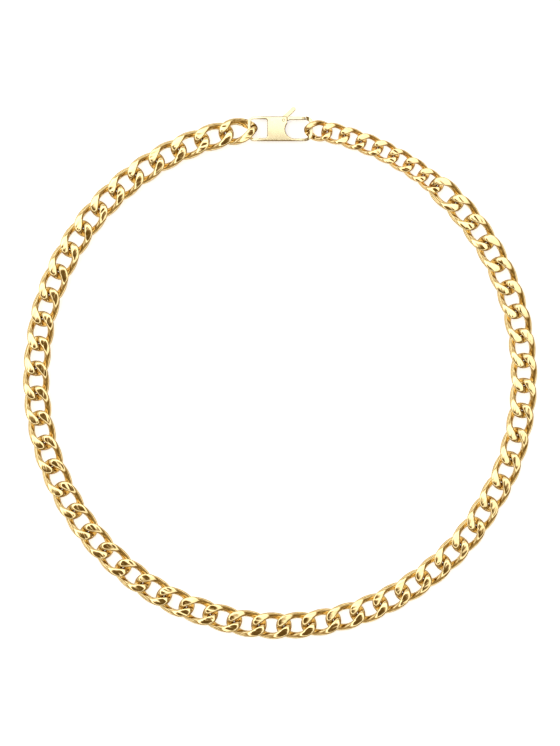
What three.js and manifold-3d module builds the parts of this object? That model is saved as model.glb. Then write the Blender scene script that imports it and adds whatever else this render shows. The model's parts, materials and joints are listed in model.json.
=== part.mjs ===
// Curb chain necklace: a closed loop of large twisted links, a short run of small links beside
// the clasp, and a rectangular lobster clasp with a sprung thumb lever.
// Millimetres, +Z up. The necklace lies closed on the plane z = 0, clasp towards +Y, and the
// origin is under the middle of its bounding box. Links are numbered counterclockwise from
// the clasp, seen from above.
import * as THREE from 'three';
import { mergeVertices } from 'three/addons/utils/BufferGeometryUtils.js';
import Module from 'manifold-3d';

const wasm = await Module();
wasm.setup();

// --- driving dimensions -------------------------------------------------------------------

const LOOP_HALF_WIDTH = 78.7; // centreline of the chain, along X
const LOOP_HALF_LENGTH = 80.4; // centreline of the chain, along Y
const LOOP_ARC_STEPS = 4000;

// wire: diameter. play: free travel between two hooked bows. thickness: height after pressing.
// joined: links that are drawn tight onto the one after them, so that the two are one piece.
const LARGE = {
  name: 'large',
  count: 54,
  wire: 2.1,
  play: 0.5,
  width: 8.6,
  thickness: 3.6,
  steps: 20,
  joined: [13, 27, 40],
  material: new THREE.MeshStandardMaterial({ color: 0xe6be6a, roughness: 0.18, metalness: 1 }),
};
const SMALL = {
  name: 'small',
  count: 8,
  wire: 1.6,
  play: 0.34,
  width: 6.8,
  thickness: 2.85,
  steps: 16,
  joined: [1, 3, 5],
  material: new THREE.MeshStandardMaterial({ color: 0xdfa95c, roughness: 0.2, metalness: 1 }),
};
const SMALL_PITCH = 5.73;
const JOIN_DEPTH = 0.08; // how far two joined bows sink into each other

const BOW_TWIST = THREE.MathUtils.degToRad(48); // turn of each bow about the link's long axis
const CLASP_BOW_TWIST = THREE.MathUtils.degToRad(74); // the two bows that are hooked on the clasp
const OVAL_POWER = 2.4; // 2 is an ellipse, more is squarer
const PRESS_POWER = 5; // how sharply the pressed flats begin
const WIRE_SIDES = 6;

const CLASP = {
  left: -10.45,
  right: 10.5,
  bottom: -3.9,
  top: 3.95,
  thickness: 2.8,
  leftCorner: 1.9,
  upperRightCorner: 2.0,
  lowerRightCorner: 2.6,
};
const CLASP_BEVEL = 0.25;
const TAPER = 2; // length over which the clasp thins towards its end bars
const WINDOW = {
  left: -9.6,
  right: -4.15,
  bottom: -3.0,
  top: 3.2,
  leftCorner: 1.15,
  upperRightCorner: 0.7,
  lowerRightCorner: 0.7,
};
const HOOK = {
  left: 1.6,
  right: 9.55,
  bottom: -3.15,
  top: 2.85,
  upperRightCorner: 1.3,
  lowerRightCorner: 1.9,
};
const WINDOW_BAR = { low: -0.25, high: 0.85 }; // end bars that the chain hooks on, from mid-thickness
const HOOK_BAR = { low: -0.5, high: 0.45 };
const END_CLEARANCE = 0.25; // between an end bar and the bow hooked on it

const LEVER_PIVOT = { x: 1.1, y: 2.7 };
const PIN_RADIUS = 0.38;
const PIN_CLEARANCE = 0.06;
const GATE = { left: 2.3, right: 8.35, bottom: 2.95, top: 3.85, halfThickness: 1.15, lean: 0.45 };
const GATE_HEEL = { drop: 0.35, length: 0.8 }; // the gate's deeper root, beside the plate
const GATE_SWEEP = 1.05; // room below the gate's root for it to swing into
const NOSE_GAP = 0.15;
const TONGUE_HALF_THICKNESS = 0.5;
const SLOT = { left: -1.7, bottom: 0.6, halfThickness: 0.65 };
const EYE = { left: -0.98, right: 0.98, shoulder: -0.4, cheek: 0.46 }; // from the lever's pivot
const HEEL = { left: -0.86, right: 0.11, bottom: -1.72 }; // what the spring pushes on
const TAB = { length: 5.0, width: 1.35, angle: THREE.MathUtils.degToRad(43) };
const SPRING_LEAF = 0.22;
const SPRING_BEND = 0.48; // outside radius of the hairpin's bend
const SPRING_HALF_WIDTH = 0.45;
const SPRING_GAP = 0.05;
const SPRING_SPREAD = 1.3; // outside width of the compressed hairpin at its free end
const SPRING_DROP = 0.7; // how far below the pin its free end stands

const CURVE_STEPS = 6;
const PIN_SIDES = 16;
const OVERSHOOT = 1; // how far a cutter runs past the surface that it opens

const CLASP_GOLD = new THREE.MeshStandardMaterial({ color: 0xf3e0a8, roughness: 0.32, metalness: 1 });
const PIN_GOLD = new THREE.MeshStandardMaterial({ color: 0xd8b56a, roughness: 0.3, metalness: 1 });
const SPRING_STEEL = new THREE.MeshStandardMaterial({ color: 0xc9b98a, roughness: 0.35, metalness: 1 });

// --- solids -------------------------------------------------------------------------------

function toSolid(geometry) {
  const bare = geometry.clone();
  bare.deleteAttribute('normal');
  bare.deleteAttribute('uv');
  const merged = mergeVertices(bare);
  const vertProperties = merged.attributes.position.array;
  const triVerts = Uint32Array.from(merged.index.array);
  return new wasm.Manifold(new wasm.Mesh({ numProp: 3, vertProperties, triVerts }));
}

function toGeometry(solid) {
  const mesh = solid.getMesh();
  const geometry = new THREE.BufferGeometry();
  geometry.setAttribute('position', new THREE.BufferAttribute(mesh.vertProperties, 3));
  geometry.setIndex(new THREE.BufferAttribute(mesh.triVerts, 1));
  geometry.computeVertexNormals();
  return geometry;
}

// A slab with the given XY outline, centred on z = 0.
function slab(outline, halfThickness, bevel = 0) {
  const geometry = new THREE.ExtrudeGeometry(outline, {
    depth: 2 * (halfThickness - bevel),
    bevelEnabled: bevel > 0,
    bevelThickness: bevel,
    bevelSize: bevel,
    bevelOffset: -bevel,
    bevelSegments: 2,
    curveSegments: CURVE_STEPS,
  });
  geometry.translate(0, 0, bevel - halfThickness);
  return toSolid(geometry);
}

// The right-hand end of a rectangle with rounded corners, from its bottom edge to its top edge.
function roundedEnd(path, { right, bottom, top, upperRightCorner, lowerRightCorner }) {
  path.lineTo(right - lowerRightCorner, bottom);
  path.absarc(right - lowerRightCorner, bottom + lowerRightCorner, lowerRightCorner, -Math.PI / 2, 0);
  path.lineTo(right, top - upperRightCorner);
  path.absarc(right - upperRightCorner, top - upperRightCorner, upperRightCorner, 0, Math.PI / 2);
}

function roundedRectangle(path, corners) {
  const { left, bottom, top, leftCorner } = corners;
  path.moveTo(left + leftCorner, bottom);
  roundedEnd(path, corners);
  path.lineTo(left + leftCorner, top);
  path.absarc(left + leftCorner, top - leftCorner, leftCorner, Math.PI / 2, Math.PI);
  path.lineTo(left, bottom + leftCorner);
  path.absarc(left + leftCorner, bottom + leftCorner, leftCorner, Math.PI, 1.5 * Math.PI);
  return path;
}

function polygon(points) {
  return new THREE.Shape(points.map(([x, y]) => new THREE.Vector2(x, y)));
}

// --- chain links --------------------------------------------------------------------------

// The centreline of a curb link: a squared oval whose two bows are turned opposite ways about
// the long axis, so that each bow passes through the next link while the chain lies flat.
class TwistedOval extends THREE.Curve {
  constructor(halfLength, halfWidth, startTwist, endTwist) {
    super();
    this.halfLength = halfLength;
    this.halfWidth = halfWidth;
    this.startTwist = startTwist;
    this.endTwist = endTwist;
  }

  getPoint(t, target = new THREE.Vector3()) {
    const turn = 2 * Math.PI * t;
    const x = this.halfLength * squared(Math.cos(turn));
    const y = this.halfWidth * squared(Math.sin(turn));
    const along = (x / this.halfLength + 1) / 2;
    const twist = THREE.MathUtils.lerp(this.startTwist, -this.endTwist, along);
    return target.set(x, y * Math.cos(twist), y * Math.sin(twist));
  }
}

function squared(value) {
  return Math.sign(value) * Math.abs(value) ** (2 / OVAL_POWER);
}

// Pressing squeezes the highest and lowest metal into soft flats, without widening the link.
function pressFlat(geometry, halfThickness) {
  const position = geometry.attributes.position;
  for (let i = 0; i < position.count; i += 1) {
    const z = position.getZ(i);
    const squeeze = (1 + Math.abs(z / halfThickness) ** PRESS_POWER) ** (1 / PRESS_POWER);
    position.setZ(i, z / squeeze);
  }
}

function linkSolid(kind, pitch, startTwist = BOW_TWIST, endTwist = BOW_TWIST) {
  const halfLength = (pitch + kind.play + kind.wire) / 2;
  const halfWidth = (kind.width - kind.wire) / 2;
  const centreline = new TwistedOval(halfLength, halfWidth, startTwist, endTwist);
  const ring = new THREE.TubeGeometry(centreline, kind.steps, kind.wire / 2, WIRE_SIDES, true);
  pressFlat(ring, kind.thickness / 2);
  return toSolid(ring);
}

// Two links on one straight line, spread until their hooked bows touch.
function joinedSolid(kind, pitch) {
  const link = linkSolid(kind, pitch);
  const offset = (pitch + kind.play + JOIN_DEPTH) / 2;
  return link.translate([-offset, 0, 0]).add(link.translate([offset, 0, 0]));
}

// --- layout round the loop ----------------------------------------------------------------

const loop = new THREE.EllipseCurve(0, 0, LOOP_HALF_WIDTH, LOOP_HALF_LENGTH, Math.PI / 2, 2.5 * Math.PI);
loop.arcLengthDivisions = LOOP_ARC_STEPS;

const leftBarBow = WINDOW.left + END_CLEARANCE + LARGE.wire / 2;
const hookBow = HOOK.right - END_CLEARANCE - SMALL.wire / 2;
const claspLeftPivot = leftBarBow - (LARGE.play + LARGE.wire) / 2;
const claspRightPivot = hookBow + (SMALL.play + SMALL.wire) / 2;
const claspSpan = claspRightPivot - claspLeftPivot;
const largePitch = (loop.getLength() - claspSpan - SMALL.count * SMALL_PITCH) / LARGE.count;

// A point on the loop, by distance counterclockwise from the top.
function loopPoint(distance) {
  const length = loop.getLength();
  return loop.getPointAt((((distance % length) + length) % length) / length);
}

// Turns and moves a mesh so that its X axis runs from one loop point to the other.
function layBetween(mesh, from, to) {
  const start = loopPoint(from);
  const end = loopPoint(to);
  mesh.position.x = (start.x + end.x) / 2;
  mesh.position.y = (start.y + end.y) / 2;
  mesh.rotation.z = Math.atan2(end.y - start.y, end.x - start.x);
}

function addLink(group, kind, geometry, name, from, to) {
  const mesh = new THREE.Mesh(geometry, kind.material);
  mesh.name = name;
  layBetween(mesh, from, to);
  mesh.position.z = kind.thickness / 2;
  group.add(mesh);
}

// Adds all the links of one size, with the joined ones as pairs; returns where the run ends.
function addRun(group, kind, pitch, claspLink, startDistance) {
  const single = toGeometry(linkSolid(kind, pitch));
  const double = toGeometry(joinedSolid(kind, pitch));
  const onClasp = toGeometry(linkSolid(kind, pitch, claspLink.startTwist, claspLink.endTwist));
  let distance = startDistance;
  let number = 1;
  while (number <= kind.count) {
    const label = `${kind.name}_link_${String(number).padStart(2, '0')}`;
    const isJoined = kind.joined.includes(number);
    const count = isJoined ? 2 : 1;
    const next = distance + count * pitch;
    const plain = number === claspLink.number ? onClasp : single;
    addLink(group, kind, isJoined ? double : plain, isJoined ? `${label}_and_next` : label, distance, next);
    distance = next;
    number += count;
  }
  return distance;
}

// --- clasp: X runs from the chain's first link to the hook, Y is outwards ------------------

// Side view of body and gate: full thickness at the plate, thin where the chain hooks on.
function sideProfile() {
  const half = CLASP.thickness / 2;
  const barEnd = WINDOW.left + CLASP_BEVEL;
  const hookEnd = HOOK.right - CLASP_BEVEL;
  const shape = new THREE.Shape();
  shape.moveTo(CLASP.left - OVERSHOOT, WINDOW_BAR.low);
  shape.lineTo(barEnd, WINDOW_BAR.low);
  shape.quadraticCurveTo(barEnd + TAPER, -half, WINDOW.right, -half);
  shape.lineTo(HOOK.left + TAPER, -half);
  shape.quadraticCurveTo(hookEnd - TAPER, -half, hookEnd, HOOK_BAR.low);
  shape.lineTo(CLASP.right + OVERSHOOT, HOOK_BAR.low);
  shape.lineTo(CLASP.right + OVERSHOOT, HOOK_BAR.high);
  shape.lineTo(hookEnd, HOOK_BAR.high);
  shape.quadraticCurveTo(hookEnd - TAPER, half, HOOK.left + TAPER, half);
  shape.lineTo(WINDOW.right, half);
  shape.quadraticCurveTo(barEnd + TAPER, half, barEnd, WINDOW_BAR.high);
  shape.lineTo(CLASP.left - OVERSHOOT, WINDOW_BAR.high);
  const height = CLASP.top - CLASP.bottom + 2 * OVERSHOOT;
  const geometry = new THREE.ExtrudeGeometry(shape, {
    depth: height,
    bevelEnabled: false,
    curveSegments: CURVE_STEPS,
  });
  geometry.rotateX(Math.PI / 2);
  geometry.translate(0, CLASP.top + OVERSHOOT, 0);
  return toSolid(geometry);
}

function pinBore(radius, halfLength) {
  const geometry = new THREE.CylinderGeometry(radius, radius, 2 * halfLength, PIN_SIDES);
  geometry.rotateX(Math.PI / 2);
  geometry.translate(LEVER_PIVOT.x, LEVER_PIVOT.y, 0);
  return toSolid(geometry);
}

// The opening that the chain hooks into: straight towards the nose, round towards the plate.
function hookOpening() {
  const middle = (HOOK.bottom + HOOK.top) / 2;
  const halfHeight = (HOOK.top - HOOK.bottom) / 2;
  const rootEnd = HOOK.left + halfHeight;
  const path = new THREE.Path();
  path.moveTo(rootEnd, HOOK.bottom);
  roundedEnd(path, HOOK);
  path.lineTo(rootEnd, HOOK.top);
  path.absellipse(rootEnd, middle, halfHeight, halfHeight, Math.PI / 2, 1.5 * Math.PI);
  return path;
}

// Everything between the plate and the nose that the gate fills, with a leaning end face, so
// that the nose overhangs the gate's tip and stops it from opening outwards.
function gateChannel() {
  const root = GATE.left - NOSE_GAP;
  const foot = GATE.right + NOSE_GAP;
  const floor = HOOK.top - CLASP_BEVEL;
  return polygon([
    [root, GATE.bottom - GATE_SWEEP],
    [foot - SMALL.wire, GATE.bottom - GATE_SWEEP],
    [foot - SMALL.wire, floor],
    [foot, floor],
    [foot - GATE.lean, CLASP.top + CLASP_BEVEL],
    [root, CLASP.top + CLASP_BEVEL],
  ]);
}

function claspBodySolid() {
  const outline = roundedRectangle(new THREE.Shape(), CLASP);
  outline.holes.push(roundedRectangle(new THREE.Path(), WINDOW));
  outline.holes.push(hookOpening());
  const slot = polygon([
    [SLOT.left, SLOT.bottom],
    [GATE.left + SLOT.halfThickness, SLOT.bottom],
    [GATE.left + SLOT.halfThickness, CLASP.top + OVERSHOOT],
    [SLOT.left, CLASP.top + OVERSHOOT],
  ]);
  return slab(outline, CLASP.thickness / 2, CLASP_BEVEL)
    .intersect(sideProfile())
    .subtract(slab(gateChannel(), CLASP.thickness))
    .subtract(slab(slot, SLOT.halfThickness))
    .subtract(pinBore(PIN_RADIUS + PIN_CLEARANCE, CLASP.thickness));
}

function thumbTab() {
  const { length, width, angle } = TAB;
  const shape = new THREE.Shape();
  shape.moveTo(0, -width / 2);
  shape.lineTo(length - width / 2, -width / 2);
  shape.absarc(length - width / 2, 0, width / 2, -Math.PI / 2, Math.PI / 2);
  shape.lineTo(0, width / 2);
  return slab(shape, TONGUE_HALF_THICKNESS, CLASP_BEVEL / 2)
    .rotate([0, 0, THREE.MathUtils.radToDeg(angle)])
    .translate([LEVER_PIVOT.x, LEVER_PIVOT.y + width / 2, 0]);
}

// The part of the lever inside the slot: an eye round the pin, a heel that the spring pushes
// on, and a neck that carries the gate.
function tongue() {
  const { x, y } = LEVER_PIVOT;
  const shape = polygon([
    [x + HEEL.left, y + HEEL.bottom],
    [x + HEEL.right, y + HEEL.bottom],
    [x + EYE.right, y + EYE.shoulder],
    [GATE.left + PIN_RADIUS, GATE.bottom],
    [GATE.left + PIN_RADIUS, GATE.top],
    [x + EYE.shoulder, GATE.top],
    [x + EYE.left, y + EYE.cheek],
  ]);
  return slab(shape, TONGUE_HALF_THICKNESS);
}

function leverSolid() {
  const gate = polygon([
    [GATE.left, GATE.bottom - GATE_HEEL.drop],
    [GATE.left + GATE_HEEL.length, GATE.bottom],
    [GATE.right, GATE.bottom],
    [GATE.right - GATE.lean, GATE.top],
    [GATE.left, GATE.top],
  ]);
  return slab(gate, GATE.halfThickness)
    .intersect(sideProfile())
    .add(tongue())
    .add(thumbTab())
    .subtract(pinBore(PIN_RADIUS + PIN_CLEARANCE, CLASP.thickness));
}

// A hairpin leaf, drawn as far closed as the pressed lever closes it: one leg stands against
// the end of the slot, and the lever's heel pushes on the other.
function springSolid() {
  const foot = SLOT.bottom + SPRING_BEND + SPRING_GAP;
  const left = SLOT.left + SPRING_GAP;
  const tip = left + SPRING_SPREAD;
  const tipHeight = LEVER_PIVOT.y - SPRING_DROP;
  const shape = new THREE.Shape();
  shape.moveTo(left, LEVER_PIVOT.y);
  shape.lineTo(left, foot);
  shape.absarc(left + SPRING_BEND, foot, SPRING_BEND, Math.PI, 2 * Math.PI);
  shape.lineTo(tip, tipHeight);
  shape.lineTo(tip - SPRING_LEAF, tipHeight);
  shape.lineTo(left + 2 * SPRING_BEND - SPRING_LEAF, foot);
  shape.absarc(left + SPRING_BEND, foot, SPRING_BEND - SPRING_LEAF, 2 * Math.PI, Math.PI, true);
  shape.lineTo(left + SPRING_LEAF, LEVER_PIVOT.y);
  return slab(shape, SPRING_HALF_WIDTH);
}

function addClasp(group) {
  const clasp = new THREE.Group();
  const pieces = [
    ['clasp_body', claspBodySolid(), CLASP_GOLD],
    ['clasp_lever', leverSolid(), CLASP_GOLD],
    ['lever_pin', pinBore(PIN_RADIUS, CLASP.thickness / 2), PIN_GOLD],
    ['lever_spring', springSolid(), SPRING_STEEL],
  ];
  for (const [name, solid, material] of pieces) {
    const mesh = new THREE.Mesh(toGeometry(solid), material);
    mesh.name = name;
    mesh.position.x = -(claspLeftPivot + claspRightPivot) / 2;
    clasp.add(mesh);
  }
  const start = loopPoint(claspSpan / 2);
  const end = loopPoint(-claspSpan / 2);
  clasp.position.set((start.x + end.x) / 2, (start.y + end.y) / 2, CLASP.thickness / 2);
  clasp.rotation.z = Math.atan2(end.y - start.y, end.x - start.x);
  group.add(clasp);
}

// --- the necklace -------------------------------------------------------------------------

const group = new THREE.Group();
const firstLink = { number: 1, startTwist: CLASP_BOW_TWIST, endTwist: BOW_TWIST };
const lastLink = { number: SMALL.count, startTwist: BOW_TWIST, endTwist: CLASP_BOW_TWIST };
const smallStart = addRun(group, LARGE, largePitch, firstLink, claspSpan / 2);
addRun(group, SMALL, SMALL_PITCH, lastLink, smallStart);
addClasp(group);

const bounds = new THREE.Box3().setFromObject(group, true);
const middle = bounds.getCenter(new THREE.Vector3());
group.position.set(-middle.x, -middle.y, -bounds.min.z);

export default group;
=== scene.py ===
"""Looks of the curb chain necklace: every link, the clasp, their gold, the floor and the light."""

import json
import math
import random

import bpy
from mathutils import Matrix, Vector

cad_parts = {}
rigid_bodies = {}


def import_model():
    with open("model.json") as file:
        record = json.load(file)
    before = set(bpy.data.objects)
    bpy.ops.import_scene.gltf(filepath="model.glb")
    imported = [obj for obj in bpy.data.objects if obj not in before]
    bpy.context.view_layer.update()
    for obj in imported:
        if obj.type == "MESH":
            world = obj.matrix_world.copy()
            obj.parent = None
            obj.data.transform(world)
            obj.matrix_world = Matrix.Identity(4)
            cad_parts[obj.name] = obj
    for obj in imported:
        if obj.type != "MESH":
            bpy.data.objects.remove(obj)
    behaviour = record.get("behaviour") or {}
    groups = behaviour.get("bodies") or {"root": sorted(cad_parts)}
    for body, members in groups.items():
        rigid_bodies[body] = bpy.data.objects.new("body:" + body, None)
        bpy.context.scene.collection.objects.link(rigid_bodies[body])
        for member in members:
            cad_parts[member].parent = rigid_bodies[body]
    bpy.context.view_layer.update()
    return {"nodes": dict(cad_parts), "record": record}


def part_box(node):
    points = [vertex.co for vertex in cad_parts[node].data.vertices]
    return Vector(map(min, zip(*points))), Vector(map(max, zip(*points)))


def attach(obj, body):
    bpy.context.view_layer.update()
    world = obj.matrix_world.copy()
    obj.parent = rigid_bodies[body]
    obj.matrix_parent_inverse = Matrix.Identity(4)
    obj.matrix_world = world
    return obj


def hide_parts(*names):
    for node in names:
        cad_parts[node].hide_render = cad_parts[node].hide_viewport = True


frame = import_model()

# --- shapes, in metres and radians ----------------------------------------------------------

MM = 0.001
# wire: diameter. play: free travel between two hooked bows. swell: how much thicker the wire is
# at the bows than along the sides.
LARGE = {"wire": 2.1 * MM, "play": 0.5 * MM, "width": 8.6 * MM, "thickness": 3.6 * MM, "swell": 0.18}
SMALL = {"wire": 1.6 * MM, "play": 0.34 * MM, "width": 6.8 * MM, "thickness": 2.85 * MM, "swell": 0.14}
CLASP_LINK_SWELL = 0.01  # swell of the two links that are hooked on the clasp's bars
SWELL_OFFSET = 0.2  # lowers the swell, so that the sides are a little thinner than the wire
BOW_TWIST = math.radians(48)
CLASP_BOW_TWIST = math.radians(74)
CLASP_BOW_RISE = 2.2 * MM  # height that a bow round a clasp bar gains per radian of extra twist
OVAL_POWER = 2.6
PRESS_POWER = 6.5
PRESS_LEAN = 0.055  # how much the pressed flats rise towards the bows
PRESS_SPREAD = 0.25  # how much pressing widens the metal
RING_STEPS = 128
FINE_STEPS = 16 * RING_STEPS  # steps that the centreline's length is measured with
WIRE_STEPS = 36
LINK_ROLL = math.radians(1.2)  # how unevenly the links lie
ROLL_SEED = 7

CLASP_VOXEL = 0.06 * MM
PIN_VOXEL = CLASP_VOXEL / 2
SPRING_VOXEL = CLASP_VOXEL / 3
SMOOTH_FACTOR = 0.5
SMOOTH_ROUNDS = 3
CLASP_PILLOW = 0.07  # how much thinner the clasp is at its rails than along its middle
CLASP_ARCH = 0.08  # how much thinner the clasp is at its ends than at its middle

# --- looks of the metals --------------------------------------------------------------------

# Each metal's colour on its faces and, darker, a painted shade on its upright sides that draws a dark
# edge line round every wire and rail.
LARGE_GOLD_AND_SIDE_SHADE = ((0.93, 0.735, 0.37), (0.50, 0.335, 0.115))
SMALL_GOLD_AND_SIDE_SHADE = ((0.93, 0.705, 0.345), (0.52, 0.325, 0.11))
SATIN_GOLD_AND_SIDE_SHADE = ((0.89, 0.785, 0.50), (0.34, 0.24, 0.11))
PIN_GOLD_AND_SIDE_SHADE = ((0.86, 0.75, 0.46), (0.4, 0.3, 0.14))
SPRING_STEEL_AND_SIDE_SHADE = ((0.60, 0.55, 0.42), (0.5, 0.42, 0.3))
GOLD_EDGE = (0.10, 0.05, 0.02)  # tint at grazing angles
# wear and mottling: relative change of roughness and colour. sides: how far a surface faces up
# (0 to 1) where it still has the full painted side shade and where it is fully the face colour. lines
# and waves: how fine that noise is along x, y and z. scratch: strength of the scratches.
LINK_FINISH = {
    "roughness": 0.08,
    "wear": 0.4,
    "mottling": 0.08,
    # sides: the painted side shade lies on the wire's flanks as a dark edge line.
    "sides": (0.2, 0.7),
    "lines": (0.4, 2.2, 2.2),
    "scratch": 0.12,
    "waves": (0.45, 1.6, 1.6),
    "wave_height": 0.16 * MM,
}
CLASP_FINISH = {
    "roughness": 0.26,
    "wear": 0.12,
    "mottling": 0.02,
    # sides: the painted side shade lies on nearly every bevel and rail of the clasp as a dark edge
    # line.
    "sides": (0.6, 0.985),
    "lines": (2.4, 0.12, 2.4),
    "scratch": 0.06,
    "waves": (0.6, 0.3, 0.6),
    "wave_height": 0.03 * MM,
}
# Each noise: its scale per metre and its detail.
MOTTLE_NOISE = (700, 3)
LINES_NOISE = (2600, 2)
GRAIN_NOISE = (5200, 2)
WAVES_NOISE = (420, 1)
MOTTLE_RANGE = (0.3, 0.7)  # part of the noise's range that the mottle spreads over
LINES_SHARE = 0.6  # weight of the lines in the roughness, next to the mottle
SMUDGE_RANGE = (0.2, 1.4)  # range of the weighted lines and the mottle together
SCRATCH_HEIGHT = 0.02 * MM

# Numbers of the colour sockets of Blender's Mix node.
MIX_LOW = 6
MIX_HIGH = 7
MIX_RESULT = 2

# --- stage ----------------------------------------------------------------------------------

FLOOR_HALF = 3.0
FLOOR_DROP = 0.0001  # keeps the floor just under the links
FLOOR_COLOUR = (0.95, 0.95, 0.95)
FLOOR_ROUGHNESS = 0.9
FLOOR_GLOW = 0.6
WHITE = (1, 1, 1)

CAMERA_HEIGHT = 1.0
SEEN_HEIGHT = 0.2408  # length of floor that the camera sees from top to bottom
SENSOR_HEIGHT = 36

SKY_STRENGTH = 2.42
# Light level by height, from the horizon at 0 to the zenith at 1.
HORIZON_LEVEL = 0.03
SKY_BANDS = (
    (0.10, 0.05),
    (0.28, 0.42),
    (0.45, 0.68),
    (0.62, 0.25),
    (0.80, 0.45),
    (0.90, 1.0),
    (1.0, 0.9),
)
# Each gap in the light: its direction, the cosines of the angles from it where the gap starts
# and where it is deepest, and the level there.
DARK_GAPS = (
    ((-0.10, -0.11, 0.988), (0.974, 0.994), 0.08),
    ((0.55, 0.15, 0.82), (0.965, 0.985), 0.35),
    ((-0.05, 0.52, 0.85), (0.970, 0.988), 0.4),
    ((0.30, -0.50, 0.81), (0.965, 0.985), 0.4),
    ((-0.62, -0.10, 0.78), (0.965, 0.985), 0.4),
)
KEY_SIDE = (-0.5, 0.58, 0.64)  # direction of the brightest side
KEY_RANGE = (0.05, 0.9)  # cosines of the angles from it between which the light grows to full
FILL_LEVEL = 0.3  # light on the far side, relative to the key side
ROOM_COLOUR = (1.0, 0.60, 0.14)
SOFTBOX_COLOUR = (1.0, 0.99, 0.97)
WARM_RANGE = (0.0, 0.5)  # light levels between which the room's colour gives way to the softbox's


# --- chain links ----------------------------------------------------------------------------


def squared(value):
    """A sine or cosine made larger, which squares up a circle."""
    return math.copysign(abs(value) ** (2 / OVAL_POWER), value)


def oval_point(turn, half_length, half_width, twists):
    """A point of the centreline of a squared oval whose two bows are twisted opposite ways."""
    x = half_length * squared(math.cos(turn))
    y = half_width * squared(math.sin(turn))
    along = (x / half_length + 1) / 2
    twist = twists[0] * (1 - along) - twists[1] * along
    return Vector((x, y * math.cos(twist), y * math.sin(twist)))


def even_ring(half_length, half_width, twists):
    """Points at even spacing round the link's centreline."""
    turns = [2 * math.pi * i / FINE_STEPS for i in range(FINE_STEPS + 1)]
    points = [oval_point(turn, half_length, half_width, twists) for turn in turns]
    travelled = [0.0]
    for a, b in zip(points, points[1:]):
        travelled.append(travelled[-1] + (b - a).length)
    ring = []
    at = 0
    for step in range(RING_STEPS):
        wanted = travelled[-1] * step / RING_STEPS
        while travelled[at + 1] < wanted:
            at += 1
        share = (wanted - travelled[at]) / (travelled[at + 1] - travelled[at])
        ring.append(points[at].lerp(points[at + 1], share))
    return ring


def pressed(point, limit):
    """Pressing squeezes the highest and lowest metal into flats."""
    squeeze = (1 + abs(point.z / limit) ** PRESS_POWER) ** (1 / PRESS_POWER)
    return Vector((point.x, point.y, point.z / squeeze))


def bow_rise(share, twists):
    """How far above the pressed height a bow hooked on a clasp bar stands."""
    twist = twists[0] if share < 0 else twists[1]
    return CLASP_BOW_RISE * (twist - BOW_TWIST) * abs(share)


def wire_section(kind, half_length, centre, tangent, twists):
    """One section of the wire: swollen towards the bows, pressed flat and widened by it."""
    outward = (centre - tangent * centre.dot(tangent)).normalized()
    across = tangent.cross(outward)
    share = centre.x / half_length
    radius = kind["wire"] / 2 * (1 + kind["swell"] * (share**2 - SWELL_OFFSET))
    rise = bow_rise(share, twists) if centre.z > 0 else 0.0
    flat_height = kind["thickness"] / 2 + rise
    excess = max(0.0, (abs(centre.z) + radius - flat_height) / radius)
    spread = 1 + PRESS_SPREAD * excess
    limit = flat_height - PRESS_LEAN * (half_length - abs(centre.x))
    section = []
    for step in range(WIRE_STEPS):
        angle = 2 * math.pi * step / WIRE_STEPS
        offset = (outward * math.cos(angle) + across * math.sin(angle)) * radius
        offset.x *= spread
        offset.y *= spread
        section.append(pressed(centre + offset, limit))
    return section


def ring_faces():
    """The faces between neighbouring sections, all the way round."""
    faces = []
    for i in range(RING_STEPS):
        here = i * WIRE_STEPS
        there = (i + 1) % RING_STEPS * WIRE_STEPS
        for j in range(WIRE_STEPS):
            k = (j + 1) % WIRE_STEPS
            faces.append((here + j, here + k, there + k, there + j))
    return faces


def link_mesh(name, kind, pitch, twists=(BOW_TWIST, BOW_TWIST)):
    """A closed link, centred, with its bows at the two ends of the x axis."""
    half_length = (pitch + kind["play"] + kind["wire"]) / 2
    half_width = (kind["width"] - kind["wire"]) / 2
    ring = even_ring(half_length, half_width, twists)
    verts = []
    for i, centre in enumerate(ring):
        tangent = (ring[(i + 1) % RING_STEPS] - ring[i - 1]).normalized()
        verts += wire_section(kind, half_length, centre, tangent, twists)
    mesh = bpy.data.meshes.new(name)
    mesh.from_pydata(verts, [], ring_faces())
    mesh.shade_smooth()
    return mesh


def chain_joints():
    """The hinges along the chain, in order from the clasp."""
    by_parent = {}
    for joint in frame["record"]["behaviour"]["joints"]:
        if joint["child"] != "lever":
            by_parent[joint["parent"]] = joint
    chain = []
    body = "clasp"
    while body in by_parent:
        chain.append(by_parent[body])
        body = by_parent[body]["child"]
    return chain


def box_middle(node):
    """The middle of a node's bounding box."""
    low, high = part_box(node)
    return (Vector(low) + Vector(high)) / 2


def chain_pivots(joints):
    """The middles of the crossings, from the clasp's window to the clasp's hook."""
    pivots = [Vector(joint["pos_m"]) for joint in joints]
    pivots.append(2 * box_middle(joints[-1]["child"]) - pivots[-1])
    pivots[-1].z = pivots[-2].z
    return pivots


def chain_meshes(pivots):
    """The four shapes of link: the two sizes, and the two that are hooked on the clasp."""
    large_pitch = (pivots[2] - pivots[1]).length
    small_pitch = (pivots[-1] - pivots[-2]).length
    first_kind = dict(LARGE, swell=CLASP_LINK_SWELL)
    last_kind = dict(SMALL, swell=CLASP_LINK_SWELL)
    return {
        "large": link_mesh("large_link", LARGE, large_pitch),
        "small": link_mesh("small_link", SMALL, small_pitch),
        "first": link_mesh("first_link", first_kind, large_pitch, (CLASP_BOW_TWIST, BOW_TWIST)),
        "last": link_mesh("last_link", last_kind, small_pitch, (BOW_TWIST, CLASP_BOW_TWIST)),
    }


def place_link(mesh, name, start, end, material, node, roll):
    """One link as its own piece, from one crossing to the next."""
    direction = end - start
    obj = bpy.data.objects.new(name, mesh)
    bpy.context.collection.objects.link(obj)
    turn = Matrix.Rotation(math.atan2(direction.y, direction.x), 4, "Z")
    obj.matrix_world = Matrix.Translation((start + end) / 2) @ turn @ Matrix.Rotation(roll, 4, "X")
    obj.data.materials.clear()
    obj.data.materials.append(material)
    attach(obj, node)
    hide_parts(node)


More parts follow.
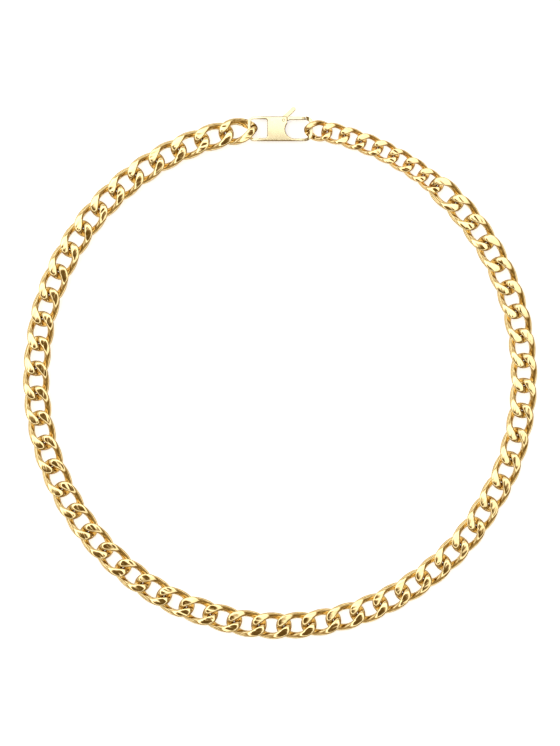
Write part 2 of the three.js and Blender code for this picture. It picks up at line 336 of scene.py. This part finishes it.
def build_chain(golds):
    """Every link of the chain; a node that holds two links becomes two pieces."""
    chance = random.Random(ROLL_SEED)
    joints = chain_joints()
    pivots = chain_pivots(joints)
    meshes = chain_meshes(pivots)
    special = {joints[0]["child"]: meshes["first"], joints[-1]["child"]: meshes["last"]}
    for index, joint in enumerate(joints):
        node = joint["child"]
        size = node.split("_")[0]
        number = int(node.split("_")[2])
        mesh = special.get(node, meshes[size])
        start = pivots[index]
        end = pivots[index + 1].copy()
        end.z = start.z
        count = 2 if node.endswith("_and_next") else 1
        for part in range(count):
            name = f"{size}_curb_link_{number + part:02d}"
            a = start.lerp(end, part / count)
            b = start.lerp(end, (part + 1) / count)
            roll = chance.uniform(-LINK_ROLL, LINK_ROLL)
            place_link(mesh, name, a, b, golds[size], node, roll)


# --- clasp ----------------------------------------------------------------------------------


def pillow(mesh):
    """Thins a clasp piece towards its rails, so that its faces are slightly domed."""
    low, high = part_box("clasp_body")
    middle = box_middle("clasp_body")
    half_size = (Vector(high) - Vector(low)) / 2
    for vertex in mesh.vertices:
        offset = vertex.co - middle
        across = min(1.0, abs(offset.y) / half_size.y)
        along = min(1.0, abs(offset.x) / half_size.x)
        thinning = 1 - CLASP_PILLOW * across**2 - CLASP_ARCH * along**2
        vertex.co.z = middle.z + offset.z * thinning


def rounded_mesh(obj, voxel):
    """The object's mesh after a voxel remesh and some smoothing."""
    remesh = obj.modifiers.new("remesh", "REMESH")
    remesh.mode = "VOXEL"
    remesh.voxel_size = voxel
    smooth = obj.modifiers.new("smooth", "SMOOTH")
    smooth.factor = SMOOTH_FACTOR
    smooth.iterations = SMOOTH_ROUNDS
    bpy.context.view_layer.update()
    evaluated = obj.evaluated_get(bpy.context.evaluated_depsgraph_get())
    mesh = bpy.data.meshes.new_from_object(evaluated)
    obj.modifiers.clear()
    return mesh


def softened_copy(node, name, body, slot, material, voxel):
    """A copy of a clasp node with its edges rounded over, as tumbling leaves them."""
    source = frame["nodes"][node]
    obj = bpy.data.objects.new(name, source.data.copy())
    bpy.context.collection.objects.link(obj)
    obj.matrix_world = source.matrix_world
    mesh = rounded_mesh(obj, voxel)
    obj.data = mesh
    pillow(mesh)
    mesh.name = name
    mesh.shade_smooth()
    mesh.materials.clear()
    mesh.materials.append(material)
    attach(obj, body)
    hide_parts(node)


def build_clasp(satin_gold, pin_gold, spring_steel):
    """The clasp's pieces, each with its node, name, body, slot, metal and voxel size."""
    for piece in (
        ("clasp_body", "clasp_frame", "clasp", "clasp_gold", satin_gold, CLASP_VOXEL),
        ("clasp_lever", "clasp_thumb_lever", "lever", "clasp_gold", satin_gold, CLASP_VOXEL),
        ("lever_pin", "lever_rivet", "clasp", "pin_gold", pin_gold, PIN_VOXEL),
        ("lever_spring", "lever_leaf_spring", "clasp", "spring_steel", spring_steel, SPRING_VOXEL),
    ):
        softened_copy(*piece)


# --- materials ------------------------------------------------------------------------------


def add_noise(nodes, links, vector, noise_kind, stretch=(1, 1, 1)):
    """Noise in the given space, stretched along its axes."""
    scale, detail = noise_kind
    mapping = nodes.new("ShaderNodeMapping")
    mapping.inputs["Scale"].default_value = stretch
    links.new(vector, mapping.inputs["Vector"])
    noise = nodes.new("ShaderNodeTexNoise")
    noise.inputs["Scale"].default_value = scale
    noise.inputs["Detail"].default_value = detail
    links.new(mapping.outputs["Vector"], noise.inputs["Vector"])
    return noise.outputs["Fac"]


def add_range(nodes, links, value, from_range, to_range):
    """A value mapped smoothly from one range to another."""
    mapped = nodes.new("ShaderNodeMapRange")
    mapped.interpolation_type = "SMOOTHSTEP"
    mapped.inputs["From Min"].default_value = from_range[0]
    mapped.inputs["From Max"].default_value = from_range[1]
    mapped.inputs["To Min"].default_value = to_range[0]
    mapped.inputs["To Max"].default_value = to_range[1]
    links.new(value, mapped.inputs["Value"])
    return mapped.outputs["Result"]


def add_math(nodes, links, operation, a, b=0.0):
    """A calculation with one or two values, each a number or another node's output."""
    node = nodes.new("ShaderNodeMath")
    node.operation = operation
    for socket, value in zip(node.inputs, (a, b)):
        if isinstance(value, bpy.types.NodeSocket):
            links.new(value, socket)
        else:
            socket.default_value = value
    return node.outputs["Value"]


def add_mix(nodes, links, factor, low, high):
    """A colour between two, each a colour or another node's output."""
    node = nodes.new("ShaderNodeMix")
    node.data_type = "RGBA"
    links.new(factor, node.inputs["Factor"])
    for socket, value in zip((node.inputs[MIX_LOW], node.inputs[MIX_HIGH]), (low, high)):
        if isinstance(value, bpy.types.NodeSocket):
            links.new(value, socket)
        else:
            socket.default_value = (*value, 1)
    return node.outputs[MIX_RESULT]


def add_bump(nodes, links, height, distance, strength, normal=None):
    """Relief, on top of another relief when one is given."""
    bump = nodes.new("ShaderNodeBump")
    bump.inputs["Strength"].default_value = strength
    bump.inputs["Distance"].default_value = distance
    links.new(height, bump.inputs["Height"])
    if normal is not None:
        links.new(normal, bump.inputs["Normal"])
    return bump.outputs["Normal"]


def own_space(nodes, links, coordinates):
    """Object coordinates, moved by a different amount for every piece."""
    chance = nodes.new("ShaderNodeObjectInfo").outputs["Random"]
    shift = nodes.new("ShaderNodeVectorMath")
    shift.operation = "ADD"
    links.new(coordinates, shift.inputs[0])
    links.new(chance, shift.inputs[1])
    return shift.outputs["Vector"]


def add_tone(nodes, links, normal, mottle, colours, finish):
    """The face colour, mottled, and a painted shade on the upright sides."""
    colour, painted_side_shade = colours
    split = nodes.new("ShaderNodeSeparateXYZ")
    links.new(normal, split.inputs["Vector"])
    level = add_math(nodes, links, "ABSOLUTE", split.outputs["Z"])
    facing_up = add_range(nodes, links, level, finish["sides"], (0, 1))
    mottling = finish["mottling"]
    paler = [min(1, channel * (1 + mottling)) for channel in colour]
    darker = [channel * (1 - mottling) for channel in colour]
    tone = add_mix(nodes, links, mottle, darker, paler)
    # Painted shade: the less a surface faces up, the more it takes the darker side colour.
    return add_mix(nodes, links, facing_up, painted_side_shade, tone)


def add_polish(nodes, links, lines, mottle, finish):
    """Roughness, uneven where the metal is worn."""
    weighted = add_math(nodes, links, "MULTIPLY", lines, LINES_SHARE)
    smudge = add_math(nodes, links, "ADD", weighted, mottle)
    smoothest = finish["roughness"] * (1 - finish["wear"])
    roughest = finish["roughness"] * (1 + finish["wear"])
    return add_range(nodes, links, smudge, SMUDGE_RANGE, (smoothest, roughest))


def add_relief(nodes, links, space, lines, finish):
    """Fine scratches and grain on top of soft waves."""
    grain = add_noise(nodes, links, space, GRAIN_NOISE)
    waves = add_noise(nodes, links, space, WAVES_NOISE, finish["waves"])
    wavy = add_bump(nodes, links, waves, finish["wave_height"], 1.0)
    scratches = add_math(nodes, links, "ADD", lines, grain)
    return add_bump(nodes, links, scratches, SCRATCH_HEIGHT, finish["scratch"], wavy)


def add_metal(name, colours, finish):
    """Polished or satin metal with mottled tone, painted shade on its upright sides, wear and fine
    relief.
    """
    material = bpy.data.materials.new(name)
    material.use_nodes = True
    nodes = material.node_tree.nodes
    links = material.node_tree.links
    shader = nodes["Principled BSDF"]
    shader.inputs["Metallic"].default_value = 1.0
    shader.inputs["Specular Tint"].default_value = (*GOLD_EDGE, 1)
    where = nodes.new("ShaderNodeTexCoord")
    space = own_space(nodes, links, where.outputs["Object"])
    patches = add_noise(nodes, links, space, MOTTLE_NOISE)
    mottle = add_range(nodes, links, patches, MOTTLE_RANGE, (0, 1))
    lines = add_noise(nodes, links, space, LINES_NOISE, finish["lines"])
    tone = add_tone(nodes, links, where.outputs["Normal"], mottle, colours, finish)
    links.new(tone, shader.inputs["Base Color"])
    links.new(add_polish(nodes, links, lines, mottle, finish), shader.inputs["Roughness"])
    links.new(add_relief(nodes, links, space, lines, finish), shader.inputs["Normal"])
    return material


# --- floor, camera and light ----------------------------------------------------------------


def add_floor():
    """A pale floor that glows a little, so that it stays white under the chain."""
    corners = [(-1, -1), (1, -1), (1, 1), (-1, 1)]
    verts = [(FLOOR_HALF * x, FLOOR_HALF * y, 0) for x, y in corners]
    mesh = bpy.data.meshes.new("floor")
    mesh.from_pydata(verts, [], [(0, 1, 2, 3)])
    floor = bpy.data.objects.new("floor", mesh)
    bpy.context.collection.objects.link(floor)
    material = bpy.data.materials.new("floor_white")
    material.use_nodes = True
    shader = material.node_tree.nodes["Principled BSDF"]
    shader.inputs["Base Color"].default_value = (*FLOOR_COLOUR, 1)
    shader.inputs["Roughness"].default_value = FLOOR_ROUGHNESS
    shader.inputs["Emission Color"].default_value = (*WHITE, 1)
    shader.inputs["Emission Strength"].default_value = FLOOR_GLOW
    floor.data.materials.append(material)
    floor.location.z = -FLOOR_DROP


def add_camera():
    """A camera straight above the necklace."""
    data = bpy.data.cameras.new("camera")
    camera = bpy.data.objects.new("camera", data)
    bpy.context.collection.objects.link(camera)
    data.sensor_fit = "VERTICAL"
    data.sensor_height = SENSOR_HEIGHT
    data.lens = SENSOR_HEIGHT * CAMERA_HEIGHT / SEEN_HEIGHT
    camera.location = (0, 0, CAMERA_HEIGHT)
    bpy.context.scene.camera = camera


def add_facing(nodes, links, direction, axis, from_range, to_range):
    """How much a direction faces an axis, mapped smoothly from one range to another."""
    dot = nodes.new("ShaderNodeVectorMath")
    dot.operation = "DOT_PRODUCT"
    links.new(direction, dot.inputs[0])
    dot.inputs[1].default_value = Vector(axis).normalized()
    return add_range(nodes, links, dot.outputs["Value"], from_range, to_range)


def add_sky_bands(nodes, links, direction):
    """Light level by height, in soft bands."""
    split = nodes.new("ShaderNodeSeparateXYZ")
    links.new(direction, split.inputs["Vector"])
    ramp = nodes.new("ShaderNodeValToRGB")
    ramp.color_ramp.interpolation = "EASE"
    elements = ramp.color_ramp.elements
    while len(elements) > 1:
        elements.remove(elements[-1])
    elements[0].position = 0.0
    elements[0].color = (HORIZON_LEVEL, HORIZON_LEVEL, HORIZON_LEVEL, 1)
    for position, level in SKY_BANDS:
        elements.new(position).color = (level, level, level, 1)
    links.new(split.outputs["Z"], ramp.inputs["Fac"])
    return ramp.outputs["Color"]


def add_world():
    """A soft studio round the necklace: bright bands, a key side, dark gaps and a warm room."""
    world = bpy.data.worlds.new("studio")
    bpy.context.scene.world = world
    world.use_nodes = True
    nodes = world.node_tree.nodes
    links = world.node_tree.links
    background = nodes["Background"]
    direction = nodes.new("ShaderNodeTexCoord").outputs["Generated"]
    bands = add_sky_bands(nodes, links, direction)
    key = add_facing(nodes, links, direction, KEY_SIDE, KEY_RANGE, (FILL_LEVEL, 1.0))
    level = add_math(nodes, links, "MULTIPLY", bands, key)
    for axis, edge, depth in DARK_GAPS:
        gap = add_facing(nodes, links, direction, axis, edge, (1.0, depth))
        level = add_math(nodes, links, "MULTIPLY", level, gap)
    strength = add_math(nodes, links, "MULTIPLY", level, SKY_STRENGTH)
    links.new(strength, background.inputs["Strength"])
    warmth = add_range(nodes, links, level, WARM_RANGE, (0, 1))
    colour = add_mix(nodes, links, warmth, ROOM_COLOUR, SOFTBOX_COLOUR)
    links.new(colour, background.inputs["Color"])
    bpy.context.scene.view_settings.view_transform = "Standard"


# --- the scene ------------------------------------------------------------------------------

large_gold = add_metal("large_gold", LARGE_GOLD_AND_SIDE_SHADE, LINK_FINISH)
small_gold = add_metal("small_gold", SMALL_GOLD_AND_SIDE_SHADE, LINK_FINISH)
satin_gold = add_metal("satin_gold", SATIN_GOLD_AND_SIDE_SHADE, CLASP_FINISH)
pin_gold = add_metal("pin_gold", PIN_GOLD_AND_SIDE_SHADE, CLASP_FINISH)
spring_steel = add_metal("spring_steel", SPRING_STEEL_AND_SIDE_SHADE, CLASP_FINISH)
build_chain({"large": large_gold, "small": small_gold})
build_clasp(satin_gold, pin_gold, spring_steel)
add_floor()
add_camera()
add_world()
